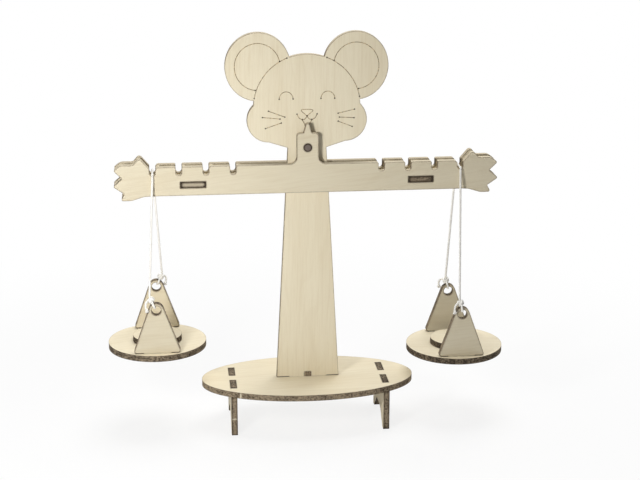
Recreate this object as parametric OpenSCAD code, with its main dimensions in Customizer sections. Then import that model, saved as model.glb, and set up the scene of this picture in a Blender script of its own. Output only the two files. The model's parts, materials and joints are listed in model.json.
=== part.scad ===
// Wooden balance scale toy, cut from thin plywood and put together with tabs and slots.
// A mouse-headed upright stands on an oval base with two arched legs. A beam of two paw-ended panels tilts
// on a pin through the upright. A round pan hangs from a cord at each end, with a loose disc as its weight.
// Lengths are in millimetres. The origin is on the floor under the middle of the base: X runs along the beam,
// the mouse looks along -Y, and Z is up.

/* [Plywood] */
// Thickness of the sheet that every flat piece is cut from
ply = 3; // [2.5:0.1:4]
// Play of a tab in its slot, over the whole width of the slot
slot_play = 0.3; // [0.1:0.05:0.5]

/* [Base and legs] */
// Width of the oval base
base_w = 106; // [96:1:130]
// Depth of the oval base
base_d = 55; // [50:1:70]
// Distance from the end of the base to the middle of a leg
leg_inset = 15.2; // [13:0.2:20]
// Height of a leg, from the floor to the base
leg_h = 20.6; // [16:0.2:30]
// Depth of a leg, from its front edge to its back edge
leg_d = 36; // [32:0.5:40]
// Depth of one foot at the floor
foot_d = 3.3; // [2.5:0.1:5]
// Height of the arch between the feet
arch_h = 7.8; // [5:0.1:12]
// Flat length at the top of the arch
arch_top_l = 12; // [8:0.5:20]
// Length of one leg tab
leg_tab_l = 11.2; // [8:0.2:12.5]
// Gap between the two tabs of a leg
leg_tab_gap = 6.2; // [4:0.2:8]

/* [Upright] */
// Height of the pivot above the base
pivot_h = 118.2; // [110:0.2:140]
// Width of the upright where it stands on the base
upright_foot_w = 31.2; // [26:0.2:40]
// Width of the upright at the pivot
upright_neck_w = 18.6; // [16:0.2:22]
// Width of the tenon that goes down through the base
tenon_w = 18.2; // [12:0.2:22]

/* [Head] */
// Diameter of the round crown of the head
crown_d = 51.4; // [46:0.2:56]
// Height of the middle of the crown above the pivot
crown_rise = 19; // [16:0.2:24]
// Diameter of a cheek
cheek_d = 21; // [18:0.2:24]
// Distance between the middles of the cheeks
cheek_spread = 36.8; // [32:0.2:40]
// Height of the middle of a cheek above the pivot
cheek_rise = 12.8; // [10:0.2:15]
// Height of the chin line, where it meets the neck, below the cheeks
chin_drop = 2.9; // [1:0.1:5]
// Width of an ear
ear_w = 31.4; // [26:0.2:36]
// Height of an ear
ear_h = 32.8; // [26:0.2:36]
// Distance between the middles of the ears
ear_spread = 46.8; // [42:0.2:52]
// Height of the middle of an ear above the pivot
ear_rise = 38.8; // [34:0.2:42]

/* [Rear brace] */
// Height of the brace behind the upright
brace_h = 42; // [30:1:70]
// Depth of the brace along the base
brace_d = 18; // [14:0.5:21]
// Height of the tongue that shows at the foot of the upright
tongue_h = 2.3; // [1.5:0.1:4]
// Length of the brace's tab through the base
brace_tab_l = 8; // [6:0.5:10]

/* [Beam] */
// Distance from the pivot to the notch that the cord hangs in
arm = 74.5; // [68:0.5:90]
// Height of the straight part of the beam
beam_h = 14.1; // [12.5:0.1:18]
// Distance from the pivot down to the top edge of the beam
beam_drop = 8; // [7.4:0.1:10]
// Free space between the upright and each panel of the beam
side_play = 0.3; // [0.2:0.1:1.5]
// Width of a notch
notch_w = 2.9; // [2.4:0.1:3.6]
// Depth of a notch
notch_depth = 4.3; // [3.5:0.1:5]
// Rounding of the mouth of a notch
notch_mouth_r = 0.8; // [0.4:0.1:1.2]
// Number of spare notches on each side, inside the one with the cord
spare_notches = 3; // [1:1:4]
// Distance from the notch with the cord to the nearest spare notch
end_notch_gap = 12.6; // [10:0.1:15]
// Distance from one spare notch to the next
notch_pitch = 13; // [10:0.1:15]
// Width of the hub round the pivot
hub_w = 10.4; // [9:0.1:14]
// Height of the hub above the pivot
hub_rise = 7.1; // [5:0.1:9]
// Rounding of the hub's upper corners
hub_corner_r = 1.5; // [0.5:0.1:3]
// Fillet between the hub and the beam
hub_fillet_r = 3.5; // [2:0.1:4.5]
// Length of the pointer above the hub
pointer_l = 4.6; // [3:0.1:7]
// Width of the pointer at the hub
pointer_w = 3.8; // [3:0.1:5]
// Width of the pointer's tip
pointer_tip_w = 1.3; // [0.8:0.1:2]
// Length of a paw, from its notch to the tip of its longest finger
paw_l = 17.5; // [14:0.1:24]
// Height of a paw, from the lowest finger to the thumb
paw_h = 20.9; // [19:0.1:26]
// Distance that the lowest finger reaches below the beam
paw_drop = 2; // [1:0.1:4]
// Distance from the notch with the cord to the middle of a spacer
spacer_inset = 19.3; // [17:0.1:22]
// Distance from the top edge of the beam to the middle of a spacer
spacer_drop = 8.9; // [8:0.1:9.5]
// Width of a spacer's tab
spacer_tab_w = 12.2; // [8:0.1:16]
// Width of each shoulder beside a spacer's tab
spacer_shoulder = 3; // [2:0.1:5]

/* [Pivot pin] */
// Diameter of the pin
pin_d = 4; // [3:0.1:5]
// Running clearance round the pin in the beam, on the radius
pin_play = 0.08; // [0.02:0.01:0.1]
// Distance that the pin stands out of each panel
pin_proud = 0.3; // [0:0.1:1]
// Bevel on the ends of the pin
pin_bevel = 0.3; // [0.1:0.1:0.6]

/* [Pans] */
// Diameter of a pan
pan_d = 48; // [42:0.5:56]
// Drop from the notch to the top of the left pan
left_hang = 84; // [75:0.2:92]
// Drop from the notch to the top of the right pan
right_hang = 91.2; // [75:0.2:92]
// Distance from the rim of a pan to the middle of a hanger
hanger_inset = 5.2; // [4:0.1:8]
// Width of a hanger at the pan
hanger_w = 23.2; // [18:0.2:26]
// Height of a hanger
hanger_h = 25.3; // [20:0.1:32]
// Rounding of a hanger's tip
hanger_tip_r = 3.6; // [3:0.1:4.5]
// Rounding of a hanger's lower corners
hanger_corner_r = 1.2; // [0.5:0.1:2]
// Diameter of the hole near a hanger's tip
hanger_hole_d = 4.6; // [4:0.1:5.4]
// Width of a hanger's tab
hanger_tab_w = 13; // [8:0.2:15]
// Diameter of a weight
weight_d = 24; // [14:0.5:30]

/* [Cord] */
// Diameter of the cotton cord
cord_d = 1.1; // [0.8:0.1:1.2]
// Diameter of a knot
knot_d = 3.6; // [3.2:0.1:4.2]
// Turns of cord that show on a knot
knot_turns = 3; // [2:1:3]
// Lean of the left pan's front tie, in degrees to the right of straight up
left_front_lean = -24; // [-45:1:45]
// Lean of the left pan's rear tie, in degrees to the right of straight up
left_rear_lean = 24; // [-45:1:45]
// Lean of the right pan's front tie, in degrees to the right of straight up
right_front_lean = -9; // [-45:1:45]
// Lean of the right pan's rear tie, in degrees to the right of straight up
right_rear_lean = -12; // [-45:1:45]

/* [Hidden] */

pale_wood = [0.93, 0.88, 0.77];
dark_pin = [0.30, 0.26, 0.24];
white_cotton = [0.95, 0.94, 0.91];
round_fn = 96;
arc_steps = 8;
cut = 1; // overrun of every cut

// Heights that the pieces share
deck = leg_h + ply;
pivot_z = deck + pivot_h;
beam_top_z = pivot_z - beam_drop;
notch_z = beam_top_z - notch_depth;
left_pan_z = notch_z - left_hang;
right_pan_z = notch_z - right_hang;

// Places that the pieces share
leg_x = base_w / 2 - leg_inset;
leg_tab_y = (leg_tab_gap + leg_tab_l) / 2;
brace_tab_y = ply / 2 + brace_d - brace_tab_l;
beam_gap = ply + 2 * side_play;
beam_depth = beam_gap + 2 * ply;
panel_y = (beam_gap + ply) / 2;
spacer_x = arm - spacer_inset;
spacer_z = beam_top_z - spacer_drop;
hanger_y = pan_d / 2 - hanger_inset;
hole_h = hanger_h - hanger_tip_r;

// Small roundings
foot_r = 0.6;
arch_r = 5;
finger_root_r = 1.6;
brace_r = 2;

// Outline of a paw, each point as [share of its length, share of its height, rounding as a share of height]
paw_shares = [
    [0, 0.74, 0.03], [0.265, 1, 0.07], [0.43, 0.84, 0.02], [0.5, 0.832, 0.06], [0.78, 0.834, 0.2],
    [0.975, 0.71, 0.04], [0.74, 0.52, 0.015], [1, 0.34, 0.04], [0.695, 0.165, 0.02],
    [0.8, 0, 0.04], [0.5, 0, 0.3], [0.17, 0.085, 0.3]
];
// Curve of the brace's back edge, each point as [share of its depth, share of its height]
brace_shares = [[1, 0.1], [0.62, 0.24], [0.4, 0.5], [0.3, 1]];

// The cord round one hanger, from the end of its tail to the strand, as [across, outward, up] from the hole
tie_route = [
    [3.8, 2.7, 2.6], [3.6, 2.7, 4.2], [2.9, 2.3, 5.5], [1.7, 1.6, 6.1], [0.5, 0.8, 5.6], [0, 1.5, 4.9],
    [0, 2.1, 4.2], [0, 2.3, 3.3], [0, 2.2, 2.4], [0, 1.8, 1.8], [0, 1.1, 1.6], [0, 0, 1.6],
    [0, -1.1, 1.6], [0, -1.8, 1.8], [0, -2.2, 2.4], [0, -2.3, 3.3], [0, -2.1, 4.2], [0, -1.5, 4.9],
    [0, -0.8, 5.6], [0, -1, 7.4]
];
// The cord over one edge of the beam, as [across, outward, up] from the face of the panel and the notch
edge_route = [[0, 1, 0], [0, 0.9, 0.6], [0, 0.5, 0.9], [0, -0.4, 0.9], [0, -2.6, 0.9]];
knot_up = 5.6; // height of a knot's middle above the hole
turn_sink = 0.15; // distance that neighbouring turns of a knot press into each other
cord_sides = 8;
strand_step = 3.6;

// One corner b of an outline, between a and c, as the points of its rounding
function unit(v) = v / norm(v);
function flat(p) = [p[0], p[1]];
function corner(a, b, c) =
    let (
        u = unit(flat(a) - flat(b)),
        w = unit(flat(c) - flat(b)),
        half = acos(min(1, max(-1, u * w))) / 2,
        room = min(norm(flat(a) - flat(b)), norm(flat(c) - flat(b))) / 2.05,
        reach = min(b[2] / tan(half), room),
        r = reach * tan(half),
        middle = flat(b) + unit(u + w) * r / sin(half),
        turn = 180 - 2 * half,
        side = sign(u[0] * w[1] - u[1] * w[0]),
        from = flat(b) + u * reach - middle
    )
    b[2] <= 0
        ? [flat(b)]
        : [for (i = [0:arc_steps])
            let (t = -side * turn * i / arc_steps)
            middle + [from[0] * cos(t) - from[1] * sin(t), from[0] * sin(t) + from[1] * cos(t)]];

// A closed outline of points [x, y, rounding], with its corners rounded
function rounded(p) =
    [for (i = [0:len(p) - 1]) each corner(p[(i + len(p) - 1) % len(p)], p[i], p[(i + 1) % len(p)])];

function mirrored(p) = [for (i = [len(p) - 1:-1:0]) [-p[i][0], p[i][1], p[i][2]]];
function reversed(p) = [for (i = [len(p) - 1:-1:0]) p[i]];

// A flat piece drawn in X and Z, standing with its middle at y
module standing_sheet(y = 0) {
    translate([0, y, 0]) rotate([90, 0, 0]) linear_extrude(ply, center = true) children();
}

// A flat piece drawn in Y and Z, standing with its middle at x
module crosswise_sheet(x = 0) {
    translate([x, 0, 0]) rotate([90, 0, 90]) linear_extrude(ply, center = true) children();
}

// A slot through a flat piece that lies at height z, for a tab of the given length and direction
module lying_slot(x, y, z, along_x, along_y) {
    translate([x, y, z + ply / 2])
        cube([along_x + slot_play, along_y + slot_play, ply + 2 * cut], center = true);
}

module base_plate() {
    color(pale_wood) difference() {
        translate([0, 0, leg_h]) linear_extrude(ply)
            scale([1, base_d / base_w]) circle(d = base_w, $fn = round_fn);
        for (sx = [-1, 1], sy = [-1, 1]) lying_slot(sx * leg_x, sy * leg_tab_y, leg_h, ply, leg_tab_l);
        lying_slot(0, 0, leg_h, tenon_w, ply);
        lying_slot(0, brace_tab_y, leg_h, ply, brace_tab_l);
    }
}

// A leg seen from the side: two feet with an arch between them, and two tabs up into the base
module leg_outline() {
    inner = leg_d / 2 - foot_d;
    half = [
        [arch_top_l / 2, arch_h, arch_r], [inner, 0, foot_r], [leg_d / 2, 0, foot_r],
        [leg_d / 2, leg_h, 0], [leg_tab_gap / 2 + leg_tab_l, leg_h, 0],
        [leg_tab_gap / 2 + leg_tab_l, deck, 0], [leg_tab_gap / 2, deck, 0], [leg_tab_gap / 2, leg_h, 0]
    ];
    polygon(rounded(concat(half, mirrored(half))));
}

module left_leg() {
    color(pale_wood) crosswise_sheet(-leg_x) leg_outline();
}

module right_leg() {
    color(pale_wood) crosswise_sheet(leg_x) leg_outline();
}

// The head: a round crown, two cheeks, a chin that runs in to the neck, and two oval ears
module head_outline() {
    cheek_z = pivot_z + cheek_rise;
    jaw_z = cheek_z - cheek_d / 2;
    intersection() {
        translate([0, pivot_z + crown_rise]) circle(d = crown_d, $fn = round_fn);
        translate([-crown_d / 2, cheek_z]) square([crown_d, crown_d]);
    }
    for (side = [-1, 1]) {
        translate([side * cheek_spread / 2, cheek_z]) circle(d = cheek_d, $fn = round_fn);
        translate([side * ear_spread / 2, pivot_z + ear_rise])
            scale([1, ear_h / ear_w]) circle(d = ear_w, $fn = round_fn);
    }
    polygon([
        [-cheek_spread / 2, cheek_z], [-cheek_spread / 2, jaw_z],
        [-upright_neck_w / 2, jaw_z - chin_drop], [upright_neck_w / 2, jaw_z - chin_drop],
        [cheek_spread / 2, jaw_z], [cheek_spread / 2, cheek_z]
    ]);
}

module upright_panel() {
    color(pale_wood) difference() {
        standing_sheet() {
            head_outline();
            polygon([
                [-upright_foot_w / 2, deck], [-tenon_w / 2, deck],
                [-tenon_w / 2, leg_h], [tenon_w / 2, leg_h],
                [tenon_w / 2, deck], [upright_foot_w / 2, deck], [upright_neck_w / 2, pivot_z],
                [-upright_neck_w / 2, pivot_z]
            ]);
        }
        translate([0, 0, pivot_z]) rotate([90, 0, 0])
            cylinder(d = pin_d, h = ply + 2 * cut, center = true, $fn = round_fn);
        translate([0, 0, deck + tongue_h / 2])
            cube([ply + slot_play, ply + 2 * cut, tongue_h + slot_play], center = true);
    }
}

// A knee behind the upright: its tongue passes through the upright's foot and its tab goes into the base
module rear_brace() {
    back = ply / 2;
    curve = [for (s = brace_shares) [back + s[0] * brace_d, deck + s[1] * brace_h, brace_r]];
    tab_from = brace_tab_y - brace_tab_l / 2;
    tab_to = brace_tab_y + brace_tab_l / 2;
    color(pale_wood) crosswise_sheet() polygon(rounded(concat(
        [
            [-back, deck, 0], [tab_from, deck, 0], [tab_from, leg_h, 0],
            [tab_to, leg_h, 0], [tab_to, deck, 0],
            [back + brace_d, deck, 0]
        ],
        curve,
        [[back, deck + brace_h, 0], [back, deck + tongue_h, 0], [-back, deck + tongue_h, 0]]
    )));
}

module pivot_pin() {
    half = beam_depth / 2 + pin_proud;
    color(dark_pin) translate([0, 0, pivot_z]) rotate([90, 0, 0]) rotate_extrude($fn = round_fn) polygon([
        [0, -half], [pin_d / 2 - pin_bevel, -half], [pin_d / 2, pin_bevel - half],
        [pin_d / 2, half - pin_bevel], [pin_d / 2 - pin_bevel, half], [0, half]
    ]);
}

// One notch of the beam's top edge, with its middle at x
function notch(x) = [
    [x - notch_w / 2, beam_top_z, notch_mouth_r], [x - notch_w / 2, notch_z, notch_w / 2],
    [x + notch_w / 2, notch_z, notch_w / 2], [x + notch_w / 2, beam_top_z, notch_mouth_r]
];

// The right half of the beam: pointer, hub, notches, paw and lower edge
function half_beam() =
    let (
        wrist = arm + notch_w / 2,
        beam_foot_z = beam_top_z - beam_h,
        paw_foot_z = beam_foot_z - paw_drop
    )
    concat(
        [
            [pointer_tip_w / 2, pivot_z + hub_rise + pointer_l, pointer_tip_w / 4],
            [pointer_w / 2, pivot_z + hub_rise, 0],
            [hub_w / 2, pivot_z + hub_rise, hub_corner_r],
            [hub_w / 2, beam_top_z, hub_fillet_r]
        ],
        [for (i = [spare_notches - 1:-1:0]) each notch(arm - end_notch_gap - i * notch_pitch)],
        [
            [arm - notch_w / 2, beam_top_z, 2 * notch_mouth_r],
            [arm - notch_w / 2, notch_z, notch_w / 2],
            [wrist, notch_z, notch_w / 2]
        ],
        [for (s = paw_shares) [wrist + s[0] * paw_l, paw_foot_z + s[1] * paw_h, s[2] * paw_h]],
        [[wrist, beam_foot_z, finger_root_r]]
    );

module beam_panel(y) {
    half = half_beam();
    color(pale_wood) difference() {
        standing_sheet(y) polygon(rounded(concat(half, mirrored(half))));
        translate([0, y, pivot_z]) rotate([90, 0, 0])
            cylinder(r = pin_d / 2 + pin_play, h = ply + 2 * cut, center = true, $fn = round_fn);
        for (side = [-1, 1]) translate([side * spacer_x, y, spacer_z])
            cube([spacer_tab_w + slot_play, ply + 2 * cut, ply + slot_play], center = true);
    }
}

module front_beam_panel() {
    beam_panel(-panel_y);
}

module rear_beam_panel() {
    beam_panel(panel_y);
}

// A spacer lies flat between the panels, and its tabs end flush with their outer faces
module spacer(side) {
    color(pale_wood) translate([side * spacer_x, 0, spacer_z]) union() {
        cube([spacer_tab_w + 2 * spacer_shoulder, beam_gap, ply], center = true);
        cube([spacer_tab_w, beam_depth, ply], center = true);
    }
}

module left_spacer() {
    spacer(-1);
}

module right_spacer() {
    spacer(1);
}

module pan_disc(side, z) {
    color(pale_wood) translate([side * arm, 0, z - ply]) difference() {
        cylinder(d = pan_d, h = ply, $fn = round_fn);
        for (sy = [-1, 1]) lying_slot(0, sy * hanger_y, 0, hanger_tab_w, ply);
    }
}

module left_pan_disc() {
    pan_disc(-1, left_pan_z);
}

module right_pan_disc() {
    pan_disc(1, right_pan_z);
}

// A hanger is a triangle with a round tip and a tab down through the pan
// Its flanks would meet at the peak, above the tip
module hanger(side, outward, z) {
    half_w = hanger_w / 2;
    flank = atan2(hole_h, half_w) + asin(hanger_tip_r / norm([half_w, hole_h]));
    peak = half_w * tan(flank);
    outline = [
        [-half_w, 0, hanger_corner_r], [-hanger_tab_w / 2, 0, 0], [-hanger_tab_w / 2, -ply, 0],
        [hanger_tab_w / 2, -ply, 0], [hanger_tab_w / 2, 0, 0], [half_w, 0, hanger_corner_r],
        [0, peak, hanger_tip_r]
    ];
    color(pale_wood) translate([side * arm, outward * hanger_y, z]) difference() {
        standing_sheet() polygon(rounded(outline));
        translate([0, 0, hole_h]) rotate([90, 0, 0])
            cylinder(d = hanger_hole_d, h = ply + 2 * cut, center = true, $fn = round_fn);
    }
}

module left_front_hanger() {
    hanger(-1, -1, left_pan_z);
}

module left_rear_hanger() {
    hanger(-1, 1, left_pan_z);
}

module right_front_hanger() {
    hanger(1, -1, right_pan_z);
}

module right_rear_hanger() {
    hanger(1, 1, right_pan_z);
}

// The cord's points from a hanger's tail to the middle of the notch, at the front or the back
function leaned(p, lean) = [p[0] * cos(lean) + p[2] * sin(lean), p[1], p[2] * cos(lean) - p[0] * sin(lean)];
function tie_points(side, outward, z, lean) =
    [for (p = tie_route)
        let (q = leaned([lean < 0 ? -p[0] : p[0], p[1], p[2]], lean))
        [side * arm + q[0], outward * (hanger_y + q[1]), z + hole_h + q[2]]];
function edge_points(side, outward) =
    [for (p = edge_route) [side * arm + p[0], outward * (beam_depth / 2 + p[1]), notch_z + p[2]]];
function between(a, b) =
    let (n = floor(norm(b - a) / strand_step))
    [for (i = [1:n - 1]) a + (b - a) * i / n];
function half_cord(side, outward, z, lean) =
    let (tie = tie_points(side, outward, z, lean), edge = edge_points(side, outward))
    concat(tie, between(tie[len(tie) - 1], edge[0]), edge);
function cord_path(side, z, front_lean, rear_lean) =
    concat(
        half_cord(side, -1, z, front_lean),
        [[side * arm, 0, notch_z + edge_route[len(edge_route) - 1][2]]],
        reversed(half_cord(side, 1, z, rear_lean))
    );

// A round tube along a path, as one closed skin
module tube(path, d) {
    last = len(path) - 1;
    across = [1, 0, 0];
    rings = [for (k = [0:last])
        let (
            t = unit(path[min(k + 1, last)] - path[max(k - 1, 0)]),
            u = unit(across - t * (across * t)),
            v = cross(t, u)
        )
        each [for (i = [0:cord_sides - 1])
            let (a = 360 * i / cord_sides)
            path[k] + (u * cos(a) + v * sin(a)) * d / 2]];
    sides = [for (k = [0:last - 1], i = [0:cord_sides - 1])
        let (
            j = (i + 1) % cord_sides,
            a = k * cord_sides + i,
            b = k * cord_sides + j,
            c = b + cord_sides,
            e = a + cord_sides
        )
        each [[a, e, c], [a, c, b]]];
    first_end = [for (i = [0:cord_sides - 1]) i];
    last_end = [for (i = [cord_sides - 1:-1:0]) last * cord_sides + i];
    polyhedron(points = rings, faces = concat([first_end], sides, [last_end]), convexity = 10);
}

module left_cord() {
    color(white_cotton) tube(cord_path(-1, left_pan_z, left_front_lean, left_rear_lean), cord_d);
}

module right_cord() {
    color(white_cotton) tube(cord_path(1, right_pan_z, right_front_lean, right_rear_lean), cord_d);
}

// A knot ties the cord at the tip of its hanger, with its turns wound round the strands
module knot(side, outward, z, lean) {
    turn_r = (knot_d - cord_d) / 2;
    pitch = cord_d - turn_sink;
    half = (knot_turns - 1) * pitch / 2;
    color(white_cotton) translate([side * arm, outward * hanger_y, z + hole_h]) rotate([0, lean, 0])
        translate([0, 0, knot_up]) rotate_extrude($fn = round_fn) {
            for (i = [0:knot_turns - 1])
                translate([turn_r, i * pitch - half]) circle(d = cord_d, $fn = round_fn);
            translate([0, -half]) square([turn_r, 2 * half]);
        }
}

module left_front_knot() {
    knot(-1, -1, left_pan_z, left_front_lean);
}

module left_rear_knot() {
    knot(-1, 1, left_pan_z, left_rear_lean);
}

module right_front_knot() {
    knot(1, -1, right_pan_z, right_front_lean);
}

module right_rear_knot() {
    knot(1, 1, right_pan_z, right_rear_lean);
}

module weight(side, z) {
    color(pale_wood) translate([side * arm, 0, z]) cylinder(d = weight_d, h = ply, $fn = round_fn);
}

module left_weight() {
    weight(-1, left_pan_z);
}

module right_weight() {
    weight(1, right_pan_z);
}

base_plate();
left_leg();
right_leg();
upright_panel();
rear_brace();
pivot_pin();
front_beam_panel();
rear_beam_panel();
left_spacer();
right_spacer();
left_pan_disc();
left_front_hanger();
left_rear_hanger();
left_cord();
left_front_knot();
left_rear_knot();
right_pan_disc();
right_front_hanger();
right_rear_hanger();
right_cord();
right_front_knot();
right_rear_knot();
left_weight();
right_weight();
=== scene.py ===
"""Looks of the wooden balance scale toy: plywood, scorched face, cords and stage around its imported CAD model."""

import json
import math

import bpy
from bpy.props import FloatProperty, FloatVectorProperty, IntProperty, PointerProperty
from bpy.types import Operator, Panel, PropertyGroup
from mathutils import Matrix, Vector


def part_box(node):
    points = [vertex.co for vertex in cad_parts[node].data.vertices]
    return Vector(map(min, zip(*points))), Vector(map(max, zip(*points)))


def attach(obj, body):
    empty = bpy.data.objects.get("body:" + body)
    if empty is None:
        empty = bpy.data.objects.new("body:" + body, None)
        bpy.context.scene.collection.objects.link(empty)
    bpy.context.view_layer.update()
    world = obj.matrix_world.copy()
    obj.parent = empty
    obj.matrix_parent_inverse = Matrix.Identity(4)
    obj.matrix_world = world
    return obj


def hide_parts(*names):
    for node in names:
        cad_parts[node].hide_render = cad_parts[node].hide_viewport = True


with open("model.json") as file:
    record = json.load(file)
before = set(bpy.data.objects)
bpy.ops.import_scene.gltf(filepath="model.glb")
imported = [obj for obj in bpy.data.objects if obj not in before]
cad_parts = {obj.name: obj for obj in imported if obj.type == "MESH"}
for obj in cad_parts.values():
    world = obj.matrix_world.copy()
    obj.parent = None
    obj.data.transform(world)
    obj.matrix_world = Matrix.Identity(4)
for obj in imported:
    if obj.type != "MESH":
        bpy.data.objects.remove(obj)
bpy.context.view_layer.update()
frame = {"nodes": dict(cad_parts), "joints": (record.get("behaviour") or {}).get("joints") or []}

bl_info = {
    "name": "Mouse Balance Scale",
    "version": (1, 0, 0),
    "blender": (4, 5, 0),
    "location": "View3D > Sidebar > Balance Scale",
    "description": "Dresses the balance scale toy in plywood, scorched lines and twisted cotton cord",
    "category": "Object",
}

MM = 0.001
WHITE = (1, 1, 1, 1)
HANGERS = [f"{side}_{row}_hanger" for side in ("left", "right") for row in ("front", "rear")]

# How each plate lies in its sheet: the axis its grain runs along, the axis across it, and a turn in degrees.
SHEETS = {
    "base_plate": ("X", "Y", 4),
    "left_leg": ("Y", "Z", 3),
    "right_leg": ("Y", "Z", -5),
    "upright_panel": ("Z", "X", 1),
    "rear_brace": ("Z", "Y", 2),
    "front_beam_panel": ("X", "Z", 7),
    "rear_beam_panel": ("X", "Z", -4),
    "left_spacer": ("X", "Y", 0),
    "right_spacer": ("X", "Y", 5),
    "left_pan_disc": ("X", "Y", 18),
    "right_pan_disc": ("X", "Y", -9),
    "left_front_hanger": ("X", "Z", 3),
    "left_rear_hanger": ("X", "Z", -6),
    "right_front_hanger": ("X", "Z", 5),
    "right_rear_hanger": ("X", "Z", -2),
    "left_weight": ("X", "Y", 32),
    "right_weight": ("X", "Y", -24),
}
# How far one plate's cut of the sheet lies from the next, along and across the grain, in millimetres.
SHEET_STEP = (37, 11)
# How deeply the rims of a plate are burnt, where it isn't as usual, and what is taken off it before the streaks,
# patches and specks of the cut add to it.
USUAL_BURN = 0.5
BURN_OFFSET = 0.68
# Set plate by plate, these burns also paint shade: the notch walls of the beam panels and the end of the right
# spacer in its slot are darker for the shade in them.
BURNS_AND_SHADE = {
    "base_plate": 0.4, "left_leg": 0.15, "right_leg": 0.3, "left_spacer": -0.4, "right_spacer": 0.35,
    "front_beam_panel": 0.4, "rear_beam_panel": 0.4, "left_weight": 0.85, "right_weight": 0.85,
    "left_pan_disc": 0.6, "right_pan_disc": 0.8, "upright_panel": 0.45, "rear_brace": 0.05,
}
# How much deeper the rims that look upwards are burnt: on the ends of the leg tabs, down in their slots, this
# darkening is painted shade, and on the head and the beam the upward rims are made paler.
UPWARD_RIM_BURN_AND_SHADE = {
    "left_leg": 0.5, "right_leg": 0.45, "upright_panel": -0.95, "front_beam_panel": -1.1, "rear_beam_panel": -0.9,
}
# How far the glue lines show in the rims, where it isn't as usual, and how far they lie from the middle of the
# sheet, in millimetres.
USUAL_GLUE = 0.22
GLUES = {"rear_brace": 0.95, "left_weight": 0.4, "right_weight": 0.4}
GLUE_DEPTH = 0.55
# The painted shadow along the foot of a plate that stands on another one: that plate, and half the width in the
# middle that stays free of it, in millimetres.
FOOT_SHADOWS = {
    "upright_panel": ("base_plate", 9.3),
    **{name: (name.split("_")[0] + "_pan_disc", 6.5) for name in HANGERS},
}
# The soot along the cut edges of a plate, where it isn't as usual: its width in millimetres, its strength on the
# face, and its strength on the rim. The usual width is a setting. A strength above 1 makes the line fuller.
USUAL_SOOT = (0.55, 0.3)
# On the legs and the spacers the line is widened to paint the shade in the slots round their tab ends, and on the
# hangers and the upright it is strengthened to paint the shade where they stand on another plate.
SOOTS_AND_SHADE = {
    **dict.fromkeys(("left_leg", "right_leg"), (1.4, 0.6, 1.0)),
    **dict.fromkeys(("left_spacer", "right_spacer"), (1.65, 0.6, 1.7)),
    **dict.fromkeys(("front_beam_panel", "rear_beam_panel"), (0.6, 0.95, 0.0)),
    **dict.fromkeys(HANGERS, (0.85, 1.0, 0.4)),
    "upright_panel": (0.6, 0.9, 0.3),
    "rear_brace": (0.45, 0.6, 0.0),
}
# How pale the sheet of a plate is, where it isn't the usual 1. These also paint light and shade: the four hangers,
# cut alike, differ for the light on each; the left rear hanger and the weights are paler where they stand in
# shade, and the right rear hanger is darker as painted shade.
TONES_AND_PAINTED_LIGHT = {
    "upright_panel": 1.1, "front_beam_panel": 0.95, "base_plate": 1.04, "left_front_hanger": 0.88,
    "left_rear_hanger": 1.12, "right_front_hanger": 0.88, "right_rear_hanger": 0.8,
    "left_pan_disc": 1.13, "right_pan_disc": 1.1, "left_weight": 1.14, "right_weight": 1.14,
}
# Spots on the burnt rims where a plate was held in its sheet and broken out, in millimetres: left pale. The other
# plates have theirs where no plate reaches.
NICKS = {
    "base_plate": (-34.8, -20.8, 22.1),
    "left_leg": (-37.8, -18, 8.7),
}
NO_NICK = (1000, 1000, 1000)

# The route of the cord round a hanger, from its tail to the strand: across, outwards and up from the hole.
TIE_ROUTE = (
    (3.8, 2.7, 2.6), (3.6, 2.7, 4.2), (2.9, 2.3, 5.5), (1.7, 1.6, 6.1), (0.5, 0.8, 5.6), (0, 1.5, 4.9),
    (0, 2.1, 4.2), (0, 2.3, 3.3), (0, 2.2, 2.4), (0, 1.8, 1.8), (0, 1.1, 1.6), (0, 0, 1.6),
    (0, -1.1, 1.6), (0, -1.8, 1.8), (0, -2.2, 2.4), (0, -2.3, 3.3), (0, -2.1, 4.2), (0, -1.5, 4.9),
    (0, -0.8, 5.6), (0, -1, 7.4),
)
# The route over the edge of the beam, from its face and the bottom of the notch.
EDGE_ROUTE = ((0, 1, 0), (0, 0.9, 0.6), (0, 0.5, 0.9), (0, -0.4, 0.9), (0, -2.6, 0.9))
# How high a hanger's hole is above its pan, and the middle of a knot above the hole, in millimetres.
HOLE_UP = 21.7
KNOT_UP = 5.6
# How far the ties at the front and the rear hanger lean to the side, in degrees.
LEANS = {"left": (-24, 24), "right": (-9, -12)}

# The lamps: the setting that holds the power, the width of the disc, where it hangs and what it points at.
LAMPS = {
    "Key lamp": ("key", 0.05, (-0.14, -0.21, 0.16), (0.0, 0.0, 0.11)),
    "Top lamp": ("top", 0.6, (0.07, 0.13, 0.85), (0.0, 0.0, 0.05)),
    "Back lamp": ("back", 0.5, (0.45, 0.6, 0.5), (0.0, 0.0, 0.1)),
}
# The floor: half its width, and how it goes from its own shade under the toy to plain white: the radii where that
# starts and ends, and the share of white at the start.
FLOOR_HALF = 3.0
FLOOR_FADE = (0.1, 0.34)
FLOOR_WHITE = 0.82


# ---------------------------------------------------------------------------------------------- settings


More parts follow.
